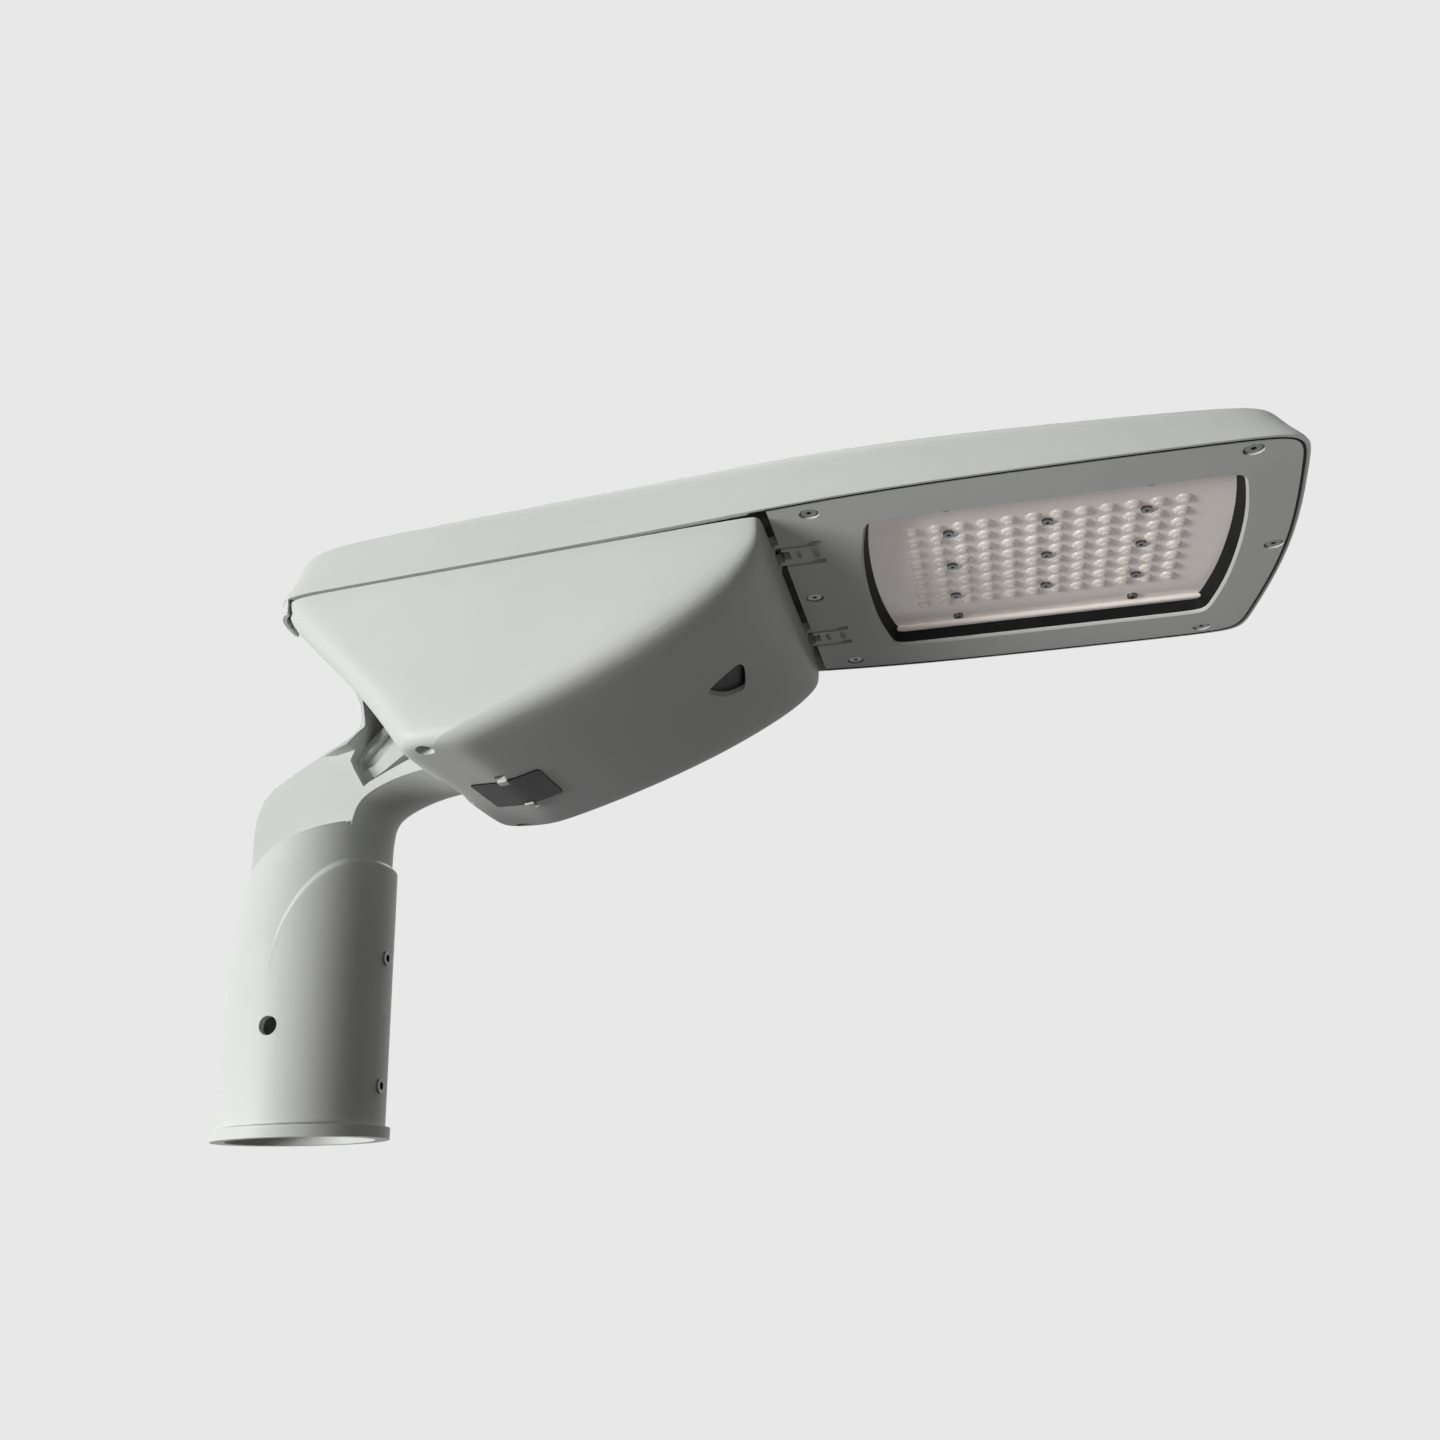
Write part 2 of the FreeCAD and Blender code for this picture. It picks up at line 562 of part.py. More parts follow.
def housing_holes():
    holes = [rod_x(WALL_X[0] - 5, WALL_X[1] + 5, LEAD_Y, LEAD_Z, GROMMET_R)]
    holes += [rod(x, y, RIM_Z, RIM_Z + FRAME_SCREW_REACH + 1, FRAME_SCREW_R) for x, y in FRAME_SCREWS]
    holes += [rod(x, y, RIM_Z - 2, FOOT_TOP + FOOT_BOLT_REACH + 1, FOOT_BOLT_R)
              for x, y in foot_bolt_points()]
    holes += [rod(CLOSE_X, y, RIM_Z - 2, RIM_Z + 2 * CLOSE_REACH, CLOSE_SHANK_R + 1.2)
              for y in (-CLOSE_Y, CLOSE_Y)]
    holes += [rod(x, y, TRAY_Z - 1, TRAY_Z + TRAY_SCREW_REACH + 1, SMALL_SCREW_R) for x, y in tray_points()]
    holes += [rod(x, y, sink_bottom() - 1, sink_top() + SINK_SCREW_REACH + 1, SMALL_SCREW_R)
              for x, y in sink_points()]
    return Part.makeCompound(holes)


def window_wire(grow, z):
    rear = WINDOW_REAR - grow
    front = WINDOW_FRONT + grow
    half = WINDOW_HALF + grow
    corner = WINDOW_CORNER + grow
    c = SOFTEN * corner
    bow = WINDOW_BOW
    side = [(rear, 0.0), (rear + 0.2 * bow, 0.5 * half), (rear + 0.9 * bow, half - corner),
            (rear + bow + c, half - c), (rear + bow + corner, half),
            (0.5 * (rear + front), half), (front - bow - corner, half), (front - bow - c, half - c),
            (front - 0.9 * bow, half - corner), (front - 0.2 * bow, 0.5 * half), (front, 0.0)]
    poles = [V(x, -y, z) for x, y in side] + [V(x, y, z) for x, y in reversed(side[1:-1])]
    return outline(poles)


def window_prism(grow, z0, z1):
    return Part.Face(window_wire(grow, z0)).extrude(V(0, 0, z1 - z0))


def hinge_middles():
    return [side * 0.5 * (HINGE_ARM_Y[0] + HINGE_ARM_Y[1]) for side in (-1, 1)]


def hinge_arm_middles():
    return [side * y for side in (-1, 1) for y in HINGE_ARM_Y]


def hinge_slots():
    half = 0.5 * HINGE_ARM_T + HINGE_SLOT_CLEAR
    cuts = [block(FRAME_REAR - 2, HINGE_CUT_FRONT, y - half, y + half, RIM_Z - 1, RIM_Z + 20)
            for y in hinge_arm_middles()]
    for mid in hinge_middles():
        rear, front, reach = HINGE_WELL
        cuts.append(block(rear, front, mid - reach, mid + reach, RIM_Z - 1, RIM_Z + 20))
        for rear, front, reach in HINGE_GROOVES:
            cuts.append(block(rear, front, mid - reach, mid + reach, RIM_Z - 1, RIM_Z + HINGE_GROOVE_DEPTH))
    return cuts


def bezel_frame():
    plate = rim_loop(RIM_WALL + FRAME_CLEAR, RIM_Z, RIM_Z + FRAME_T)
    plate = plate.common(block(FRAME_REAR, FRONT_X, -HEAD_REACH, HEAD_REACH, RIM_Z, RIM_Z + FRAME_T))
    plate = plate.common(roof_solid(RIM_SKIN + FRAME_CLEAR, RIM_DROP))
    rear, front, reach = HINGE_BOSS
    for mid in hinge_middles():
        plate = plate.fuse(block(rear, front, mid - reach, mid + reach, RIM_Z + 2, RIM_Z + HINGE_BOSS_TOP))
    plate = plate.fuse(window_prism(GASKET_REACH + 3.0, RIM_Z + 2, LENS_Z - 0.2).cut(
        window_prism(GASKET_REACH, RIM_Z, LENS_Z + 1)))
    opening = Part.makeLoft([window_wire(1.2, RIM_Z - 0.01), window_wire(0.0, RIM_Z + 1.2)], True, True)
    plate = plate.cut(opening)
    plate = plate.cut(window_prism(0.0, RIM_Z - 1, RIM_Z + 3))
    plate = plate.cut(window_prism(GASKET_REACH, RIM_Z + WINDOW_LIP, LENS_Z + 1))
    for cut in hinge_slots():
        plate = plate.cut(cut)
    for mid in hinge_middles():
        plate = plate.cut(rod_y(HINGE_X, HINGE_Z, mid - 16, mid + 16, HINGE_PIN_R))
    for x, y in FRAME_SCREWS:
        plate = plate.cut(rod(x, y, RIM_Z - 1, RIM_Z + SCREW_RECESS_H, SCREW_RECESS_R))
        plate = plate.cut(rod(x, y, RIM_Z - 1, RIM_Z + FRAME_T + 5, FRAME_SCREW_R + 0.3))
    return plate.removeSplitter()


def bezel_screws():
    parts = []
    for x, y in FRAME_SCREWS:
        head = rod(x, y, RIM_Z + SCREW_SUNK, RIM_Z + SCREW_RECESS_H, FRAME_SCREW_HEAD_R)
        head = head.cut(hex_socket(x, y, RIM_Z + SCREW_SUNK - 0.1, 1.5, 2.5))
        shank = rod(x, y, RIM_Z + SCREW_RECESS_H, RIM_Z + FRAME_SCREW_REACH, FRAME_SCREW_R)
        parts.append(head.fuse(shank))
    return Part.makeCompound(parts)


def window_gasket():
    outer = window_prism(GASKET_REACH, RIM_Z + WINDOW_LIP, LENS_Z)
    low = window_wire(0.2, RIM_Z + WINDOW_LIP - 0.01)
    inner = Part.makeLoft([low, window_wire(-GASKET_LEAN, LENS_Z + 0.01)], True, True)
    return outer.cut(inner)


def lens_point(i, j):
    return LENS_FIRST_X + i * LENS_PITCH_X, (j - (LENS_ROWS - 1) / 2.0) * LENS_PITCH_Y


def lens_points():
    return [lens_point(i, j) for i in range(LENS_COLS) for j in range(LENS_ROWS)]


def chip_points():
    return [lens_point(i, j) for i in range(LENS_COLS) for j in range(1, LENS_ROWS - 1)
            if (i, j) not in CHIP_GAPS]


def panel_screw_points():
    columns = (PANEL_SCREW_MIDDLE,) + PANEL_SCREW_SIDES
    return [(x, y) for x in columns for y in PANEL_SCREW_ROWS] + [
        (x, y) for x in PANEL_SCREW_SIDES for y in (-PANEL_SCREW_OUTER, PANEL_SCREW_OUTER)]


def lens_dome(x, y):
    profile = [V(0, 0, 0.5), V(LENS_R, 0, 0.5), V(LENS_R, 0, 0), V(0.76 * LENS_R, 0, -0.62 * LENS_H),
               V(0.36 * LENS_R, 0, -LENS_H), V(0, 0, -LENS_H), V(0, 0, 0.5)]
    dome = Part.Face(Part.makePolygon(profile)).revolve(V(0, 0, 0), V(0, 0, 1), 360)
    dome.translate(V(x, y, LENS_Z))
    return dome


def lens_plate():
    plate = window_prism(GASKET_REACH - 1.0, LENS_Z, LENS_Z + LENS_T)
    plate = plate.fuse([lens_dome(x, y) for x, y in lens_points()])
    for x, y in panel_screw_points():
        plate = plate.cut(rod(x, y, LENS_Z - 3, LENS_Z + LENS_T + 1, PANEL_SCREW_R + 0.2))
    return plate.removeSplitter()


def panel_screws():
    parts = []
    for x, y in panel_screw_points():
        head = rod(x, y, LENS_Z - PANEL_SCREW_HEAD_H, LENS_Z, PANEL_SCREW_HEAD_R)
        head = head.cut(hex_socket(x, y, LENS_Z - PANEL_SCREW_HEAD_H - 0.1, 1.1, 2.0))
        parts.append(head.fuse(rod(x, y, LENS_Z, sink_top(), PANEL_SCREW_R)))
    return Part.makeCompound(parts)


def led_board():
    z = sink_bottom() - BOARD_T
    board = block(BOARD_X[0], BOARD_X[1], -BOARD_HALF, BOARD_HALF, z, z + BOARD_T)
    for x, y in panel_screw_points():
        board = board.cut(rod(x, y, z - 1, z + BOARD_T + 1, PANEL_SCREW_R + 0.2))
    for x, y in sink_points():
        board = board.cut(block(x - BOARD_NOTCH, x + BOARD_NOTCH, y - BOARD_NOTCH, y + BOARD_NOTCH,
                                z - 1, z + BOARD_T + 1))
    return board


def led_chips():
    z = sink_bottom() - BOARD_T
    half = 0.5 * CHIP
    return Part.makeCompound([block(x - half, x + half, y - half, y + half, z - CHIP_H, z)
                              for x, y in chip_points()])


def heat_sink():
    z = sink_bottom()
    plate = block(SINK_X[0], SINK_X[1], -BOARD_HALF, BOARD_HALF, z, z + SINK_T)
    for k in range(SINK_FINS):
        y = (k - (SINK_FINS - 1) / 2.0) * SINK_FIN_PITCH
        plate = plate.fuse(block(FIN_X[0], FIN_X[1], y - SINK_FIN_HALF, y + SINK_FIN_HALF,
                                 sink_top(), sink_top() + SINK_FIN_H))
    for x, y in panel_screw_points():
        plate = plate.cut(rod(x, y, z - 1, sink_top(), PANEL_SCREW_R))
    for x, y in sink_points():
        plate = plate.cut(rod(x, y, z - 1, z + 20, SMALL_SCREW_R + 0.2))
    return plate.removeSplitter()


def small_screws(points, z, reach):
    return Part.makeCompound([rod(x, y, z - SMALL_SCREW_HEAD_H, z, SMALL_SCREW_HEAD_R).fuse(
        rod(x, y, z, reach, SMALL_SCREW_R)) for x, y in points])


def sink_screws():
    return small_screws(sink_points(), sink_bottom(), sink_top() + SINK_SCREW_REACH)


def tray_screws():
    return small_screws(tray_points(), TRAY_Z, TRAY_Z + TRAY_SCREW_REACH)


def hinge_arm(y):
    profile = ((HINGE_ROOT_X, 268.0), (279.0, 268.0), (279.9, 271.5), (281.0, RIM_Z + 0.5),
               (HINGE_X, HINGE_Z - HINGE_EYE_R), (HINGE_X, HINGE_Z + HINGE_EYE_R - 1.2),
               (HINGE_ROOT_X, HINGE_Z + 0.4))
    y0, y1 = y - HINGE_ARM_T / 2, y + HINGE_ARM_T / 2
    return slab_y(profile, y0, y1).fuse(rod_y(HINGE_X, HINGE_Z, y0, y1, HINGE_EYE_R))


def bracket_notch():
    notch = block(-20, NOTCH_FRONT, -NOTCH_LOW_HALF, NOTCH_LOW_HALF, 170.0, RIM_Z + 3)
    corners = [edge for edge in notch.Edges if edge.BoundBox.ZLength > 50 and edge.BoundBox.XMin > 0]
    notch = notch.makeFillet(NOTCH_CORNER, corners)
    return notch.fuse(block(-20, NOTCH_FRONT - 20, -NOTCH_HALF, NOTCH_HALF, NOTCH_Z, RIM_Z + 3))


def plate_hooks():
    x, y = PLATE_C
    hooks = []
    for side in (-1, 1):
        edge = y + side * PLATE_SIZE[1] / 2
        tip, seat, root = edge - side * HOOK_OVER, edge + side * 0.3, edge + side * HOOK_ROOT
        over = block(x - HOOK_HALF - 1, x + HOOK_HALF + 1, min(tip - side, seat), max(tip - side, seat),
                     170.0, 210.0)
        whole = block(x - HOOK_HALF, x + HOOK_HALF, min(tip, root), max(tip, root), 170.0, 210.0)
        hook = whole.common(cover_solid(-PLATE_T - HOOK_T)).cut(over.common(cover_solid(-PLATE_T - 0.05)))
        hooks.append(hook.cut(cover_solid(0.5)))
    return hooks


def hook_holes():
    x, y = PLATE_C
    out = PLATE_SIZE[1] / 2 + HOOK_ROOT + HOOK_HOLE_GAP + HOOK_HOLE_R
    return [rod(x, y + side * out, 170.0, 215.0, HOOK_HOLE_R) for side in (-1, 1)]


def gear_cover():
    top = RIM_Z - GAP
    body = cover_solid(0.0).cut(cover_solid(COVER_WALL))
    inside_flange = cover_ring(0.4 + GASKET_FLANGE, top - 20, top + 5)
    flange_ring = cover_ring(0.4, top - FLANGE_T, top).cut(inside_flange)
    tubes = [rod(CLOSE_X, y, 180.0, top, CLOSE_TUBE_R) for y in (-CLOSE_Y, CLOSE_Y)]
    tubes = Part.makeCompound(tubes).common(cover_solid(0.4))
    body = body.fuse([flange_ring] + tubes.Solids + [hinge_arm(y) for y in hinge_arm_middles()])
    body = body.cut(bracket_notch()).fuse(plate_hooks())
    for hole in hook_holes():
        body = body.cut(hole)
    for y in (-CLOSE_Y, CLOSE_Y):
        body = body.cut(rod(CLOSE_X, y, 170.0, CLOSE_SEAT_Z, CLOSE_HEAD_R + CLOSE_HOLE_CLEAR))
        body = body.cut(rod(CLOSE_X, y, 170.0, RIM_Z + 5, CLOSE_SHANK_R + 0.3))
    for y in hinge_arm_middles():
        body = body.cut(rod_y(HINGE_X, HINGE_Z, y - 4, y + 4, HINGE_PIN_R + HINGE_FIT))
    body = body.cut(plug_prism(0.0))
    return body.removeSplitter()


def plug_prism(grow):
    centre_x = sum(x for x, y in PLUG_CORNERS) / len(PLUG_CORNERS)
    corners = []
    for x, y in PLUG_CORNERS:
        reach = math.hypot(x - centre_x, y)
        corners.append((x + (x - centre_x) * grow / reach, y + y * grow / reach))
    poles = []
    for (ax, ay), (bx, by) in zip(corners, corners[1:] + corners[:1]):
        for t in (0.16, 0.84):
            poles.append(V(ax + (bx - ax) * t, ay + (by - ay) * t, 170.0))
    return prism(poles, 90.0)


def cavity_plug():
    plug = plug_prism(PLUG_EDGE).common(cover_solid(COVER_WALL))
    return plug.cut(cover_solid(COVER_WALL + PLUG_T))


def closing_screws():
    parts = []
    for y in (-CLOSE_Y, CLOSE_Y):
        head = rod(CLOSE_X, y, CLOSE_SEAT_Z - CLOSE_HEAD_H, CLOSE_SEAT_Z, CLOSE_HEAD_R)
        head = head.cut(hex_socket(CLOSE_X, y, CLOSE_SEAT_Z - CLOSE_HEAD_H - 0.1, 2.4, 4.0))
        parts.append(head.fuse(rod(CLOSE_X, y, CLOSE_SEAT_Z, RIM_Z + CLOSE_REACH, CLOSE_SHANK_R)))
    return Part.makeCompound(parts)


def hinge_pins():
    reach = HINGE_PIN_HALF
    return Part.makeCompound([rod_y(HINGE_X, HINGE_Z, mid - reach, mid + reach, HINGE_PIN_R)
                              for mid in hinge_middles()])


def cover_gasket():
    ring = cover_ring(GASKET_INSET, RIM_Z - GAP + 0.3, RIM_Z + LEDGE_UP)
    ring = ring.cut(cover_ring(GASKET_FLANGE, RIM_Z - 5, RIM_Z + 5))
    return ring.cut(block(-20, 60, -NOTCH_HALF, NOTCH_HALF, RIM_Z - 5, RIM_Z + 5))


def rating_plate():
    x, y = PLATE_C
    half_x, half_y = PLATE_SIZE[0] / 2, PLATE_SIZE[1] / 2
    region = block(x - half_x, x + half_x, y - half_y, y + half_y, 170.0, 210.0)
    vertical = [edge for edge in region.Edges if edge.BoundBox.ZLength > 30]
    region = region.makeFillet(PLATE_ROUND, vertical)
    return region.common(cover_solid(-PLATE_T)).cut(cover_solid(0.0))


def gear_tray():
    tray = block(TRAY_X[0], TRAY_X[1], -TRAY_HALF, TRAY_HALF, TRAY_Z, TRAY_Z + TRAY_T)
    for x, y in tray_points():
        tray = tray.cut(rod(x, y, TRAY_Z - 1, TRAY_Z + 5, SMALL_SCREW_R + 0.3))
    return tray


def hung_box(sizes):
    x0, x1, y0, y1, depth = sizes
    return block(x0, x1, y0, y1, TRAY_Z - depth, TRAY_Z)


def led_driver():
    body = hung_box(DRIVER)
    low_edges = [edge for edge in body.Edges
                 if edge.BoundBox.XLength > 1 and edge.BoundBox.ZMax < TRAY_Z - 0.5 * DRIVER[4]]
    return body.makeFillet(DRIVER_ROUND, low_edges)


def surge_protector():
    return hung_box(SURGE_BOX)


def terminal_block():
    body = hung_box(TERMINALS)
    x0, x1, y0, y1, depth = TERMINALS
    for k in (-1, 0, 1):
        body = body.cut(rod(0.5 * (x0 + x1) + TERMINAL_PITCH * k, 0.5 * (y0 + y1), TRAY_Z - depth - 1,
                            TRAY_Z - depth + TERMINAL_HOLE_DEPTH, TERMINAL_HOLE_R))
    return body


def inlet_gland():
    (x0, z0), (x1, z1) = DUCT_PATH[-2:]
    z = z0 + (z1 - z0) * (FOOT_END - x0) / (x1 - x0)
    nut = rod_x(FOOT_END, FOOT_END + GLAND_NUT_T, 0, z, GLAND_R)
    face = FOOT_END + GLAND_NUT_T
    dome = Part.makeCone(GLAND_R - 2.0, GLAND_R - 5.5, GLAND_DOME, V(face, 0, z), V(1, 0, 0))
    return nut.fuse(dome).cut(rod_x(FOOT_END - 1, face + GLAND_DOME + 1, 0, z, GLAND_BORE_R))


def lamp_leads():
    run = None
    for start, end in zip(LEAD_PATH[:-1], LEAD_PATH[1:]):
        way = V(end[0] - start[0], 0, end[1] - start[1])
        foot = V(start[0], LEAD_Y, start[1])
        piece = Part.makeCylinder(LEAD_R, way.Length, foot, way)
        run = run.fuse([piece, Part.makeSphere(LEAD_R, foot)]) if run else piece
    return run.removeSplitter()


def lead_grommet():
    x0, x1 = WALL_X
    ring = rod_x(x0 - GROMMET_LIP_T, x1 + GROMMET_LIP_T, LEAD_Y, LEAD_Z, GROMMET_R)
    for start in (x0 - GROMMET_LIP_T, x1):
        ring = ring.fuse(rod_x(start, start + GROMMET_LIP_T, LEAD_Y, LEAD_Z, GROMMET_R + GROMMET_LIP))
    return ring.cut(rod_x(x0 - 10.0, x1 + 10.0, LEAD_Y, LEAD_Z, LEAD_R))


NODES = (("spigot_bracket", spigot_bracket), ("set_screws", set_screws), ("foot_bolts", foot_bolts),
         ("foot_washers", foot_washers), ("top_housing", top_housing), ("bezel_frame", bezel_frame),
         ("bezel_screws", bezel_screws), ("window_gasket", window_gasket), ("lens_plate", lens_plate),
         ("panel_screws", panel_screws), ("led_board", led_board), ("led_chips", led_chips),
         ("heat_sink", heat_sink), ("sink_screws", sink_screws), ("gear_cover", gear_cover),
         ("cavity_plug", cavity_plug), ("closing_screws", closing_screws), ("hinge_pins", hinge_pins),
         ("cover_gasket", cover_gasket), ("rating_plate", rating_plate), ("gear_tray", gear_tray),
         ("tray_screws", tray_screws), ("led_driver", led_driver), ("surge_protector", surge_protector),
         ("terminal_block", terminal_block), ("inlet_gland", inlet_gland), ("lamp_leads", lamp_leads),
         ("lead_grommet", lead_grommet))

for node, make in NODES:
    save(make(), node)
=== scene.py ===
import json
import math

import bmesh
import bpy
from mathutils import Matrix, Vector
from mathutils.bvhtree import BVHTree


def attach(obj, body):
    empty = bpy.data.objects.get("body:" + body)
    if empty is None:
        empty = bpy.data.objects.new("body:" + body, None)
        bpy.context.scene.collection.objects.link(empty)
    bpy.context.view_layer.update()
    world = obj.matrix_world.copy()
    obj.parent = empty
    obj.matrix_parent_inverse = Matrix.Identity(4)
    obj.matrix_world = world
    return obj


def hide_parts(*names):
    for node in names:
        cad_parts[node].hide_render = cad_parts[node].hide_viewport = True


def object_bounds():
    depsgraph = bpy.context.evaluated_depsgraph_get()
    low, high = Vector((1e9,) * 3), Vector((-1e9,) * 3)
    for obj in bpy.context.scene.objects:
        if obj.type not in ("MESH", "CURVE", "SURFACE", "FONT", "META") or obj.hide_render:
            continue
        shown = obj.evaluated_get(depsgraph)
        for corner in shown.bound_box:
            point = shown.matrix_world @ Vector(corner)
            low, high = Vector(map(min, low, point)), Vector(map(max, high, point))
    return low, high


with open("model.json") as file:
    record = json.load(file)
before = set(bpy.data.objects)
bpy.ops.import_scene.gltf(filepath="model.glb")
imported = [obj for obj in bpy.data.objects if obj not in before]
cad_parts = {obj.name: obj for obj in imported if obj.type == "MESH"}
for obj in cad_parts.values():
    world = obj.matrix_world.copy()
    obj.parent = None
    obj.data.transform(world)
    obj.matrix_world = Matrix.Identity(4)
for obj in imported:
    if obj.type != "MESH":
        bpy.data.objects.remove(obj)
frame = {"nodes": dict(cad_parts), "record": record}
cad_low, cad_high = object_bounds()
nodes = frame["nodes"]

MM = 0.001

# Vertices of the CAD meshes that lie closer than this are one point.
MERGE_GAP = 0.004 * MM

# The lens panel's grid, with the chips under the inner rows only.
LENS_COLUMNS = 12
LENS_ROWS = 8
LENS_PITCH = (12.5 * MM, 13.2 * MM)
LENS_FIRST = 351.0 * MM
LENS_PLANE = 290.4 * MM
CHIP_HALF_SPAN = 3.0 * LENS_PITCH[1]
CLEAR_ACRYLIC_IOR = 1.49


# Materials. Patterns read Object coordinates, which are metres in the head's own frame.

def new_material(name):
    material = bpy.data.materials.new(name)
    material.use_nodes = True
    shader = material.node_tree.nodes["Principled BSDF"]
    return material, material.node_tree, shader


def object_noise(tree, scale, detail=4.0, roughness=0.55, stretch=None):
    place = tree.nodes.new("ShaderNodeTexCoord")
    noise = tree.nodes.new("ShaderNodeTexNoise")
    noise.inputs["Scale"].default_value = scale
    noise.inputs["Detail"].default_value = detail
    noise.inputs["Roughness"].default_value = roughness
    source = place.outputs["Object"]
    if stretch:
        mapping = tree.nodes.new("ShaderNodeMapping")
        mapping.inputs["Scale"].default_value = stretch
        tree.links.new(source, mapping.inputs["Vector"])
        source = mapping.outputs["Vector"]
    tree.links.new(source, noise.inputs["Vector"])
    return noise.outputs["Fac"]


def ramp(tree, value, low, high, start=0.35, end=0.65):
    shades = tree.nodes.new("ShaderNodeValToRGB")
    shades.color_ramp.elements[0].position = start
    shades.color_ramp.elements[0].color = low
    shades.color_ramp.elements[1].position = end
    shades.color_ramp.elements[1].color = high
    tree.links.new(value, shades.inputs["Fac"])
    return shades.outputs["Color"]


def spread(tree, value, low, high):
    span = tree.nodes.new("ShaderNodeMapRange")
    span.inputs["To Min"].default_value = low
    span.inputs["To Max"].default_value = high
    tree.links.new(value, span.inputs["Value"])
    return span.outputs["Result"]


def bumps(tree, shader, layers):
    normal = None
    for value, strength, depth in layers:
        bump = tree.nodes.new("ShaderNodeBump")
        bump.inputs["Strength"].default_value = strength
        bump.inputs["Distance"].default_value = depth
        tree.links.new(value, bump.inputs["Height"])
        if normal:
            tree.links.new(normal, bump.inputs["Normal"])
        normal = bump.outputs["Normal"]
    tree.links.new(normal, shader.inputs["Normal"])


def grey(level):
    return (level, level, level, 1.0)


def powder_coat():
    material, tree, shader = new_material("satin_powder_coat")
    cloud = object_noise(tree, 9.0, 3.0)
    tree.links.new(ramp(tree, cloud, (0.590, 0.602, 0.584, 1), (0.620, 0.631, 0.612, 1)),
                   shader.inputs["Base Color"])
    grain = object_noise(tree, 900.0, 3.0, 0.6)
    tree.links.new(spread(tree, grain, 0.40, 0.52), shader.inputs["Roughness"])
    orange_peel = object_noise(tree, 420.0, 2.0, 0.5)
    bumps(tree, shader, [(orange_peel, 0.12, 0.00012), (grain, 0.08, 0.00004)])
    shader.inputs["Specular IOR Level"].default_value = 0.30
    return material


def machined_steel():
    material, tree, shader = new_material("stainless_steel_painted_shade")
    streaks = object_noise(tree, 900.0, 3.0, 0.6, (1.0, 1.0, 0.15))
    # Far darker than bare steel: painted shade for heads sunk in their recesses, and a painted darker
    # reflection.
    tree.links.new(ramp(tree, streaks, grey(0.13), grey(0.22)), shader.inputs["Base Color"])
    tree.links.new(spread(tree, streaks, 0.25, 0.42), shader.inputs["Roughness"])
    bumps(tree, shader, [(streaks, 0.10, 0.00005)])
    shader.inputs["Metallic"].default_value = 1.0
    return material


def bare_aluminium():
    material, tree, shader = new_material("mill_aluminium")
    rolled = object_noise(tree, 260.0, 3.0, 0.6, (0.1, 1.0, 1.0))
    tree.links.new(ramp(tree, rolled, (0.66, 0.66, 0.67, 1), (0.78, 0.78, 0.79, 1)),
                   shader.inputs["Base Color"])
    tree.links.new(spread(tree, rolled, 0.28, 0.42), shader.inputs["Roughness"])
    bumps(tree, shader, [(rolled, 0.12, 0.00005)])
    shader.inputs["Metallic"].default_value = 1.0
    return material


def dark_moulding(name, level, rough_low, rough_high, grain_scale):
    material, tree, shader = new_material(name)
    cloud = object_noise(tree, 40.0, 3.0)
    tree.links.new(ramp(tree, cloud, grey(level * 0.8), grey(level * 1.3)), shader.inputs["Base Color"])
    grain = object_noise(tree, grain_scale, 3.0, 0.6)
    tree.links.new(spread(tree, grain, rough_low, rough_high), shader.inputs["Roughness"])
    bumps(tree, shader, [(grain, 0.15, 0.00008)])
    shader.inputs["Specular IOR Level"].default_value = 0.08
    return material


def pale_moulding(name, low, high, rough_low, rough_high):
    material, tree, shader = new_material(name)
    cloud = object_noise(tree, 30.0, 3.0)
    tree.links.new(ramp(tree, cloud, low, high), shader.inputs["Base Color"])
    grain = object_noise(tree, 1100.0, 2.0, 0.5)
    tree.links.new(spread(tree, grain, rough_low, rough_high), shader.inputs["Roughness"])
    bumps(tree, shader, [(grain, 0.08, 0.00005)])
    return material


def maths(tree, operation, first, second=0.0):
    node = tree.nodes.new("ShaderNodeMath")
    node.operation = operation
    for socket, value in zip(node.inputs, (first, second)):
        if isinstance(value, (int, float)):
            socket.default_value = value
        else:
            tree.links.new(value, socket)
    return node.outputs[0]


def from_lens_centre(tree, along, first, pitch):
    """Distance in millimetres from the nearest lens centre, along one direction of the grid."""
    steps = maths(tree, "ADD", maths(tree, "DIVIDE", maths(tree, "SUBTRACT", along, first), pitch), 0.5)
    return maths(tree, "MULTIPLY", maths(tree, "SUBTRACT", maths(tree, "FRACT", steps), 0.5), pitch / MM)


def fade_out(tree, away, near, far, strength):
    """Full strength up to the near distance, and nothing from the far one on."""
    edge = tree.nodes.new("ShaderNodeMapRange")
    edge.inputs["From Min"].default_value = near
    edge.inputs["From Max"].default_value = far
    edge.inputs["To Min"].default_value = strength
    edge.inputs["To Max"].default_value = 0.0
    tree.links.new(away, edge.inputs["Value"])
    return edge


def spot(tree, across, along, centre, radius):
    """A soft round spot, with its centre and radius in millimetres from the lens centre."""
    x = maths(tree, "SUBTRACT", across, centre[0])
    y = maths(tree, "SUBTRACT", along, centre[1])
    squares = maths(tree, "ADD", maths(tree, "MULTIPLY", x, x), maths(tree, "MULTIPLY", y, y))
    away = maths(tree, "SQRT", squares)
    return fade_out(tree, away, 0.6 * radius, 1.3 * radius, 1.0).outputs["Result"]


def tinted(tree, base, share, colour):
    mix = tree.nodes.new("ShaderNodeMix")
    mix.data_type = "RGBA"
    tree.links.new(share, mix.inputs["Factor"])
    tree.links.new(base, mix.inputs["A"])
    mix.inputs["B"].default_value = colour
    return mix.outputs["Result"]
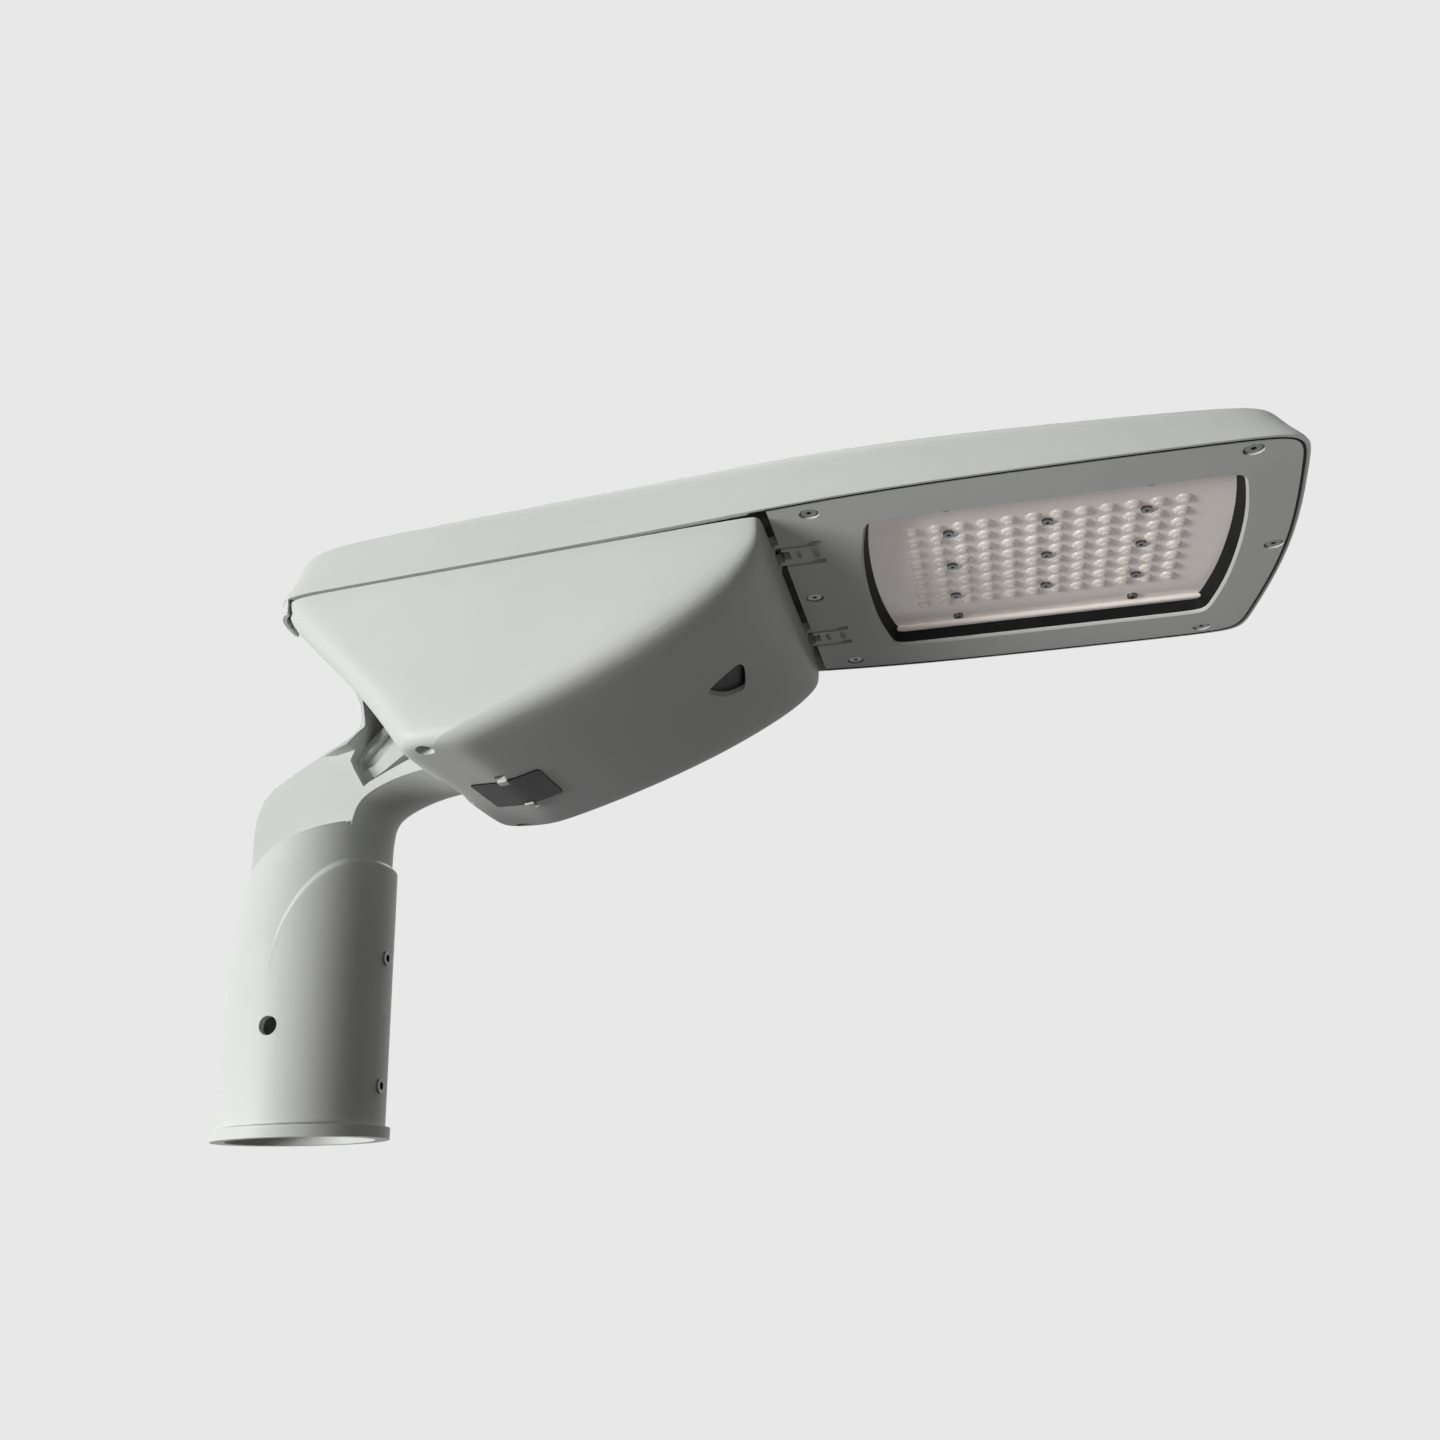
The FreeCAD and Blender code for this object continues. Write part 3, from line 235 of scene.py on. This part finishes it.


# What shows through a dome: a yellow chip, and beside it a grey spot of painted shade. Centres and radii in
# millimetres from the lens centre.
CHIP_PLACE = (-1.2, -0.5)
CHIP_RADIUS = 1.25
CHIP_COLOUR = (0.80, 0.45, 0.07, 1)
SHADE_PLACE = (1.4, -0.7)
SHADE_RADIUS = 0.9
SHADE_STRENGTH = 0.7
SHADE_COLOUR = (0.22, 0.21, 0.20, 1)


def chips_and_painted_shade(tree, colour):
    """The colour with a yellow chip and a grey spot of painted shade under each dome of the inner rows."""
    place = tree.nodes.new("ShaderNodeTexCoord")
    axes = tree.nodes.new("ShaderNodeSeparateXYZ")
    tree.links.new(place.outputs["Object"], axes.inputs[0])
    across = from_lens_centre(tree, axes.outputs["X"], LENS_FIRST, LENS_PITCH[0])
    along = from_lens_centre(tree, axes.outputs["Y"], 0.5 * LENS_PITCH[1], LENS_PITCH[1])
    inner = maths(tree, "LESS_THAN", maths(tree, "ABSOLUTE", axes.outputs["Y"]), CHIP_HALF_SPAN)
    mottle = object_noise(tree, 70.0, 1.0)
    chip = maths(tree, "MULTIPLY", spot(tree, across, along, CHIP_PLACE, CHIP_RADIUS), inner)
    uneven = maths(tree, "MULTIPLY", chip, spread(tree, mottle, 0.6, 1.2))
    colour = tinted(tree, colour, uneven, CHIP_COLOUR)
    # The grey spot beside each chip is painted shade.
    shade = maths(tree, "MULTIPLY", spot(tree, across, along, SHADE_PLACE, SHADE_RADIUS), inner)
    return tinted(tree, colour, maths(tree, "MULTIPLY", shade, SHADE_STRENGTH), SHADE_COLOUR)


def milky_acrylic(name, low, high, roughness, share, glow, chips):
    """Clear moulded acrylic in front of a white board, with a share of light that passes through it and a
    faint glow of painted light.
    """
    material, tree, shader = new_material(name)
    haze = object_noise(tree, 60.0, 3.0)
    colour = ramp(tree, haze, low, high)
    if chips:
        colour = chips_and_painted_shade(tree, colour)
    tree.links.new(colour, shader.inputs["Base Color"])
    shader.inputs["Roughness"].default_value = roughness
    shader.inputs["IOR"].default_value = CLEAR_ACRYLIC_IOR
    shader.inputs["Transmission Weight"].default_value = share
    shader.inputs["Specular IOR Level"].default_value = 0.25
    # Painted light: a faint warm glow that brightens the acrylic, though no lamp behind it is lit.
    shader.inputs["Emission Color"].default_value = (1.0, 0.92, 0.87, 1)
    shader.inputs["Emission Strength"].default_value = glow
    flow = object_noise(tree, 240.0, 2.0)
    bumps(tree, shader, [(flow, 0.05, 0.00006)])
    return material


def warm_phosphor():
    material, tree, shader = new_material("yellow_phosphor")
    mottle = object_noise(tree, 1400.0, 2.0)
    tree.links.new(ramp(tree, mottle, (0.85, 0.46, 0.07, 1), (0.95, 0.62, 0.14, 1)),
                   shader.inputs["Base Color"])
    tree.links.new(spread(tree, mottle, 0.35, 0.55), shader.inputs["Roughness"])
    bumps(tree, shader, [(mottle, 0.12, 0.00005)])
    return material


COAT = powder_coat()
STEEL = machined_steel()
ALUMINIUM = bare_aluminium()
RUBBER = dark_moulding("black_rubber", 0.010, 0.55, 0.75, 700.0)
PLASTIC = dark_moulding("black_plastic", 0.008, 0.35, 0.5, 1200.0)
PLATE = dark_moulding("black_anodised_plate", 0.006, 0.28, 0.40, 1600.0)
BOARD = pale_moulding("white_solder_mask", (0.74, 0.70, 0.66, 1), (0.80, 0.76, 0.72, 1), 0.35, 0.5)
BOX = pale_moulding("white_housing", (0.78, 0.78, 0.76, 1), (0.84, 0.84, 0.82, 1), 0.4, 0.55)
# The glow of the panel and the domes is painted light.
LENS = milky_acrylic("clear_lens_panel", (0.84, 0.79, 0.755, 1), (0.88, 0.83, 0.795, 1),
                     roughness=0.22, share=0.10, glow=0.10, chips=False)
DOME = milky_acrylic("clear_lens_domes", (0.66, 0.62, 0.585, 1), (0.72, 0.68, 0.645, 1),
                     roughness=0.20, share=0.30, glow=0.05, chips=True)
PHOSPHOR = warm_phosphor()

FINISHES = {"grey_casting": COAT, "stainless_screws": STEEL, "black_rubber": RUBBER, "clear_lens": LENS,
            "white_board": BOARD, "yellow_phosphor": PHOSPHOR, "bare_aluminium": ALUMINIUM,
            "black_plastic": PLASTIC, "white_box": BOX}

for part in frame["record"]["subparts"]:
    mesh = nodes[part["node"]].data
    mesh.materials.clear()
    mesh.materials.append(PLATE if part["node"] == "rating_plate" else FINISHES[part["material_slot"]])


# Pieces

def body_holding(node):
    for body, members in frame["record"]["behaviour"]["bodies"].items():
        if node in members:
            return body
    return "head"


def add_piece(form, name, material, body, stands_for=()):
    mesh = bpy.data.meshes.new(name)
    form.to_mesh(mesh)
    form.free()
    piece = bpy.data.objects.new(name, mesh)
    bpy.context.scene.collection.objects.link(piece)
    mesh.materials.append(material)
    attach(piece, body)
    if stands_for:
        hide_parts(*stands_for)
    return piece


# A casting's edge sharper than this is a true edge, which is rounded and shaded as one.
CASTING_EDGE_ANGLE = 28.0


def smooth_by_angle(form, degrees):
    limit = math.radians(degrees)
    for face in form.faces:
        face.smooth = True
    for edge in form.edges:
        edge.smooth = len(edge.link_faces) == 2 and edge.calc_face_angle(0.0) < limit


def soften(piece, width):
    bevel = piece.modifiers.new("rounded_edges", "BEVEL")
    bevel.width = width
    bevel.segments = 2
    bevel.limit_method = "ANGLE"
    bevel.angle_limit = math.radians(CASTING_EDGE_ANGLE)
    bevel.use_clamp_overlap = True
    bevel.miter_outer = "MITER_ARC"
    even = piece.modifiers.new("even_shading", "WEIGHTED_NORMAL")
    even.mode = "FACE_AREA"
    even.keep_sharp = True


def finished_casting(node, name, edge_round):
    form = bmesh.new()
    form.from_mesh(nodes[node].data)
    bmesh.ops.remove_doubles(form, verts=form.verts, dist=MERGE_GAP)
    smooth_by_angle(form, CASTING_EDGE_ANGLE)
    piece = add_piece(form, name, COAT, body_holding(node), (node,))
    soften(piece, edge_round)
    return piece


finished_casting("spigot_bracket", "cast_bracket", 0.7 * MM)
finished_casting("top_housing", "cast_canopy", 0.6 * MM)
finished_casting("bezel_frame", "cast_window_frame", 0.35 * MM)
finished_casting("gear_cover", "cast_gear_cover", 0.6 * MM)


# Lens panel

DOME_R = 4.3 * MM
DOME_H = 2.4 * MM
DOME_SUNK = 0.02 * MM
DOME_SKIRT = 0.05


def lens_centres():
    for column in range(LENS_COLUMNS):
        for row in range(LENS_ROWS):
            yield (LENS_FIRST + column * LENS_PITCH[0], (row - 0.5 * (LENS_ROWS - 1)) * LENS_PITCH[1])


def lens_domes():
    form = bmesh.new()
    squash = Matrix.Diagonal((DOME_R, DOME_R, DOME_H, 1.0))
    for x, y in lens_centres():
        ball = bmesh.ops.create_uvsphere(form, u_segments=20, v_segments=10, radius=1.0)["verts"]
        upper = [vert for vert in ball if vert.co.z > DOME_SKIRT]
        bmesh.ops.delete(form, geom=upper, context="VERTS")
        dome = [vert for vert in ball if vert.is_valid]
        seat = Matrix.Translation((x, y, LENS_PLANE - DOME_SUNK))
        bmesh.ops.transform(form, verts=dome, matrix=seat @ squash)
    smooth_by_angle(form, 60.0)
    return add_piece(form, "lens_domes", DOME, "head")


lens_domes()


# Raised edges of the lens panel along the two long sides of the window.

PANEL_EDGE_X = (331.0 * MM, 511.0 * MM)
PANEL_EDGE_Y = 78.4 * MM
PANEL_EDGE_REACH = 4.6 * MM
PANEL_EDGE_H = 2.6 * MM
PANEL_EDGE_SUNK = 0.1 * MM
PANEL_EDGE_ROUND = 1.2 * MM


def panel_edges():
    form = bmesh.new()
    rear, front = PANEL_EDGE_X
    middle_z = LENS_PLANE - 0.5 * PANEL_EDGE_H + PANEL_EDGE_SUNK
    stretch = Matrix.Diagonal((front - rear, PANEL_EDGE_REACH, PANEL_EDGE_H, 1.0))
    for side in (-1.0, 1.0):
        bar = bmesh.ops.create_cube(form, size=1.0)["verts"]
        place = Matrix.Translation((0.5 * (rear + front), side * PANEL_EDGE_Y, middle_z))
        bmesh.ops.transform(form, verts=bar, matrix=place @ stretch)
    bmesh.ops.bevel(form, geom=form.edges, offset=PANEL_EDGE_ROUND, segments=3, profile=0.5,
                    affect="EDGES", material=-1)
    smooth_by_angle(form, 40.0)
    return add_piece(form, "lens_panel_edges", LENS, "head")


panel_edges()


# Black sealing cord in the gap between the window frame and the canopy's rim.

CORD_R = 0.75 * MM
CORD_OUT = 0.35 * MM
CORD_UP = 0.30 * MM
LEVEL_SLACK = 0.02 * MM
REAR_STOP = 1.0 * MM


def lies_level(edge, level):
    return all(abs(vert.co.z - level) < LEVEL_SLACK for vert in edge.verts)


def turns_a_corner(edge):
    return len(edge.link_faces) == 2 and edge.calc_face_angle(0.0) > 1.0


def frame_outline():
    """The outer edge of the frame's lower face, walked both ways from its foremost point."""
    form = bmesh.new()
    form.from_mesh(nodes["bezel_frame"].data)
    bmesh.ops.remove_doubles(form, verts=form.verts, dist=MERGE_GAP)
    level = min(vert.co.z for vert in form.verts)
    edges = {edge for edge in form.edges if turns_a_corner(edge) and lies_level(edge, level)}
    tip = max((vert for edge in edges for vert in edge.verts), key=lambda vert: vert.co.x)
    rear = min(vert.co.x for vert in form.verts)
    halves = []
    for edge in [edge for edge in tip.link_edges if edge in edges]:
        here, half = tip, []
        while here.co.x > rear + REAR_STOP:
            here = edge.other_vert(here)
            half.append(here.co.copy())
            ahead = [other for other in here.link_edges if other in edges and other is not edge]
            if not ahead:
                break
            edge = ahead[0]
        halves.append(half)
    points = list(reversed(halves[0])) + [tip.co.copy()] + halves[1]
    form.free()
    return points if points[0].y < points[-1].y else list(reversed(points))


def sealing_cord():
    path = frame_outline()
    curve = bpy.data.curves.new("frame_sealing_cord", "CURVE")
    curve.dimensions = "3D"
    curve.bevel_depth = CORD_R
    curve.bevel_resolution = 2
    run = curve.splines.new("POLY")
    run.points.add(len(path) - 1)
    for index, place in enumerate(path):
        ahead = path[min(index + 1, len(path) - 1)] - path[max(index - 1, 0)]
        outward = Vector((ahead.y, -ahead.x, 0.0)).normalized()
        point = place + outward * CORD_OUT
        run.points[index].co = (point.x, point.y, point.z + CORD_UP, 1.0)
    cord = bpy.data.objects.new("frame_sealing_cord", curve)
    bpy.context.scene.collection.objects.link(cord)
    curve.materials.append(RUBBER)
    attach(cord, "head")


sealing_cord()


# The socket's raised arch, with its broad sloped edge. Measures in millimetres from the socket's axis.

SOCKET_R = 43.4
ARCH_CENTRE_X = 41.9
ARCH_HALF = 44.0
ARCH_BASE_Z = 90.0
ARCH_RISE = 58.0
ARCH_POWER = 1.7
RAY_START = 100.0 * MM
ARCH_COLUMNS = 160
ARCH_ROWS = 16
ARCH_TURN = 93.0
ARCH_FOOT_Z = 99.2
ARCH_PROUD = 0.05
ARCH_SUNK = 0.12
ARCH_OVER = 0.4

# The sloped band is narrow at the arch's crown and widens down its sides. The upper rows make it.
BAND_CROWN = 3.0
BAND_WIDENS = 2.5
CROWN_Z = 148.0
WIDENS_OVER = 30.0
BAND_ROWS = 0.6
BAND_SLOPE = 1.15
SKIRT_MIN = 3.0


def arch_top(turn):
    reach = min(max((ARCH_CENTRE_X - SOCKET_R * math.cos(turn)) / ARCH_HALF, 0.0), 1.0)
    return ARCH_BASE_Z + ARCH_RISE * (1.0 - reach ** ARCH_POWER) ** (1.0 / ARCH_POWER)


def surface_radius(casting, turn, z):
    """How far from the socket's axis the casting's outside lies, in millimetres."""
    outward = Vector((math.cos(turn), math.sin(turn), 0.0))
    start = outward * RAY_START + Vector((0.0, 0.0, z * MM))
    place = casting.ray_cast(start, -outward)[0]
    return Vector((place.x, place.y)).length / MM if place else SOCKET_R


def arch_point(casting, across, down):
    """A point of the arch: across runs from one foot to the other, down from its edge to the plain tube."""
    turn = math.radians(ARCH_TURN) * (2.0 * across - 1.0)
    top = arch_top(turn)
    neck = min(surface_radius(casting, turn, top), SOCKET_R)
    band = BAND_CROWN + BAND_WIDENS * min(1.0, max(0.0, (CROWN_Z - top) / WIDENS_OVER))
    outer = SOCKET_R + ARCH_PROUD
    if down < BAND_ROWS:
        share = down / BAND_ROWS
        inner = neck - ARCH_SUNK
        z = top + ARCH_OVER - (band + ARCH_OVER) * share
        radius = inner + min(1.0, BAND_SLOPE * share) * (outer - inner)
    else:
        foot = min(ARCH_FOOT_Z, top - band - SKIRT_MIN)
        z = top - band + (foot - top + band) * (down - BAND_ROWS) / (1.0 - BAND_ROWS)
        radius = outer
    return Vector((radius * math.cos(turn), radius * math.sin(turn), z)) * MM


def raised_arch():
    solid = bmesh.new()
    solid.from_mesh(nodes["spigot_bracket"].data)
    casting = BVHTree.FromBMesh(solid)
    form = bmesh.new()
    bmesh.ops.create_grid(form, x_segments=ARCH_COLUMNS, y_segments=ARCH_ROWS, size=0.5)
    for vert in form.verts:
        vert.co = arch_point(casting, vert.co.x + 0.5, 0.5 - vert.co.y)
    solid.free()
    bmesh.ops.recalc_face_normals(form, faces=form.faces)
    if sum(face.normal.xy.dot(face.calc_center_median().xy) for face in form.faces) < 0.0:
        bmesh.ops.reverse_faces(form, faces=form.faces)
    smooth_by_angle(form, 60.0)
    return add_piece(form, "raised_socket_arch", COAT, "head")


raised_arch()


# Floor, backdrop, lights and camera

CENTRE = 0.5 * (cad_low + cad_high)
FLOOR_Z = -0.75
FLOOR_HALF = 6.0
PALE = grey(0.806)
BOUNCE = grey(0.05)
SHADOW_NEAR = 0.5
SHADOW_FAR = 2.6
SHADOW_SHARE = 0.4
SOFT_AIR = 0.035


def background_rays(tree):
    """One for rays from the camera, a mirror or a lens, and zero for light that bounces."""
    path = tree.nodes.new("ShaderNodeLightPath")
    share = path.outputs["Is Camera Ray"]
    for kind in ("Is Transmission Ray", "Is Glossy Ray"):
        share = maths(tree, "MAXIMUM", share, path.outputs[kind])
    return share


def studio_floor_material():
    """Pale to the camera, with the object's soft shadow near it, and dark to the light that bounces."""
    material = bpy.data.materials.new("studio_floor")
    material.use_nodes = True
    tree = material.node_tree
    tree.nodes.clear()
    output = tree.nodes.new("ShaderNodeOutputMaterial")
    seen = tree.nodes.new("ShaderNodeMixShader")
    lit = tree.nodes.new("ShaderNodeMixShader")
    glow = tree.nodes.new("ShaderNodeEmission")
    pale = tree.nodes.new("ShaderNodeBsdfDiffuse")
    dark = tree.nodes.new("ShaderNodeBsdfDiffuse")
    glow.inputs["Color"].default_value = PALE
    pale.inputs["Color"].default_value = PALE
    dark.inputs["Color"].default_value = BOUNCE
    place = tree.nodes.new("ShaderNodeTexCoord")
    away = tree.nodes.new("ShaderNodeVectorMath")
    away.operation = "DISTANCE"
    away.inputs[1].default_value = (CENTRE.x, CENTRE.y, FLOOR_Z)
    tree.links.new(place.outputs["Object"], away.inputs[0])
    fade = fade_out(tree, away.outputs["Value"], SHADOW_NEAR, SHADOW_FAR, SHADOW_SHARE)
    fade.interpolation_type = "SMOOTHSTEP"
    tree.links.new(fade.outputs["Result"], lit.inputs["Fac"])
    tree.links.new(glow.outputs[0], lit.inputs[1])
    tree.links.new(pale.outputs[0], lit.inputs[2])
    tree.links.new(background_rays(tree), seen.inputs["Fac"])
    tree.links.new(dark.outputs[0], seen.inputs[1])
    tree.links.new(lit.outputs[0], seen.inputs[2])
    tree.links.new(seen.outputs[0], output.inputs["Surface"])
    return material


def studio_floor():
    form = bmesh.new()
    bmesh.ops.create_grid(form, x_segments=1, y_segments=1, size=FLOOR_HALF)
    bmesh.ops.translate(form, verts=form.verts, vec=(CENTRE.x, CENTRE.y, FLOOR_Z))
    mesh = bpy.data.meshes.new("studio_floor")
    form.to_mesh(mesh)
    form.free()
    piece = bpy.data.objects.new("studio_floor", mesh)
    bpy.context.scene.collection.objects.link(piece)
    mesh.materials.append(studio_floor_material())


studio_floor()


def world_light():
    world = bpy.data.worlds.new("studio_air")
    bpy.context.scene.world = world
    world.use_nodes = True
    tree = world.node_tree
    tree.nodes.clear()
    output = tree.nodes.new("ShaderNodeOutputWorld")
    mix = tree.nodes.new("ShaderNodeMixShader")
    soft = tree.nodes.new("ShaderNodeBackground")
    seen = tree.nodes.new("ShaderNodeBackground")
    soft.inputs["Color"].default_value = grey(1.0)
    soft.inputs["Strength"].default_value = SOFT_AIR
    seen.inputs["Color"].default_value = PALE
    seen.inputs["Strength"].default_value = 1.0
    tree.links.new(background_rays(tree), mix.inputs["Fac"])
    tree.links.new(soft.outputs[0], mix.inputs[1])
    tree.links.new(seen.outputs[0], mix.inputs[2])
    tree.links.new(mix.outputs[0], output.inputs["Surface"])


def softbox(name, toward, distance, width, height, power):
    """A soft lamp that faces the head from one direction, with its power in watts."""
    lamp = bpy.data.lights.new(name, "AREA")
    lamp.shape = "RECTANGLE"
    lamp.size = width
    lamp.size_y = height
    lamp.energy = power
    holder = bpy.data.objects.new(name, lamp)
    bpy.context.scene.collection.objects.link(holder)
    direction = Vector(toward).normalized()
    holder.location = CENTRE + direction * distance
    holder.rotation_mode = "QUATERNION"
    holder.rotation_quaternion = direction.to_track_quat("Z", "Y")


world_light()
softbox("key_softbox", (-0.675, -0.700, -0.245), distance=3.0, width=1.5, height=0.8, power=136.0)
softbox("top_softbox", (-0.1, -0.1, 1.0), distance=2.5, width=2.0, height=1.6, power=30.0)
softbox("back_softbox", (-0.1, 0.8, 0.7), distance=2.5, width=2.0, height=1.2, power=26.0)
softbox("near_softbox", (0.447, -0.789, -0.421), distance=0.38, width=0.12, height=0.12, power=0.13)


# The photo's viewpoint: where the camera stands, its three directions and its lens in millimetres.

CAMERA_PLACE = (0.3759, -0.6973, -0.0439)
CAMERA_RIGHT = (0.9774, 0.209, -0.0322)
CAMERA_UP = (0.1008, -0.3265, 0.9398)
CAMERA_BACK = (0.1859, -0.9218, -0.3402)
FOCAL_LENGTH = 34.18
SENSOR_WIDTH = 36.0


def camera():
    lens = bpy.data.cameras.new("photo_camera")
    lens.lens = FOCAL_LENGTH
    lens.sensor_width = SENSOR_WIDTH
    holder = bpy.data.objects.new("photo_camera", lens)
    bpy.context.scene.collection.objects.link(holder)
    turn = Matrix((CAMERA_RIGHT, CAMERA_UP, CAMERA_BACK)).transposed()
    holder.rotation_mode = "QUATERNION"
    holder.rotation_quaternion = turn.to_quaternion()
    holder.location = CAMERA_PLACE
    bpy.context.scene.camera = holder


camera()

bpy.context.scene.view_settings.view_transform = "Standard"
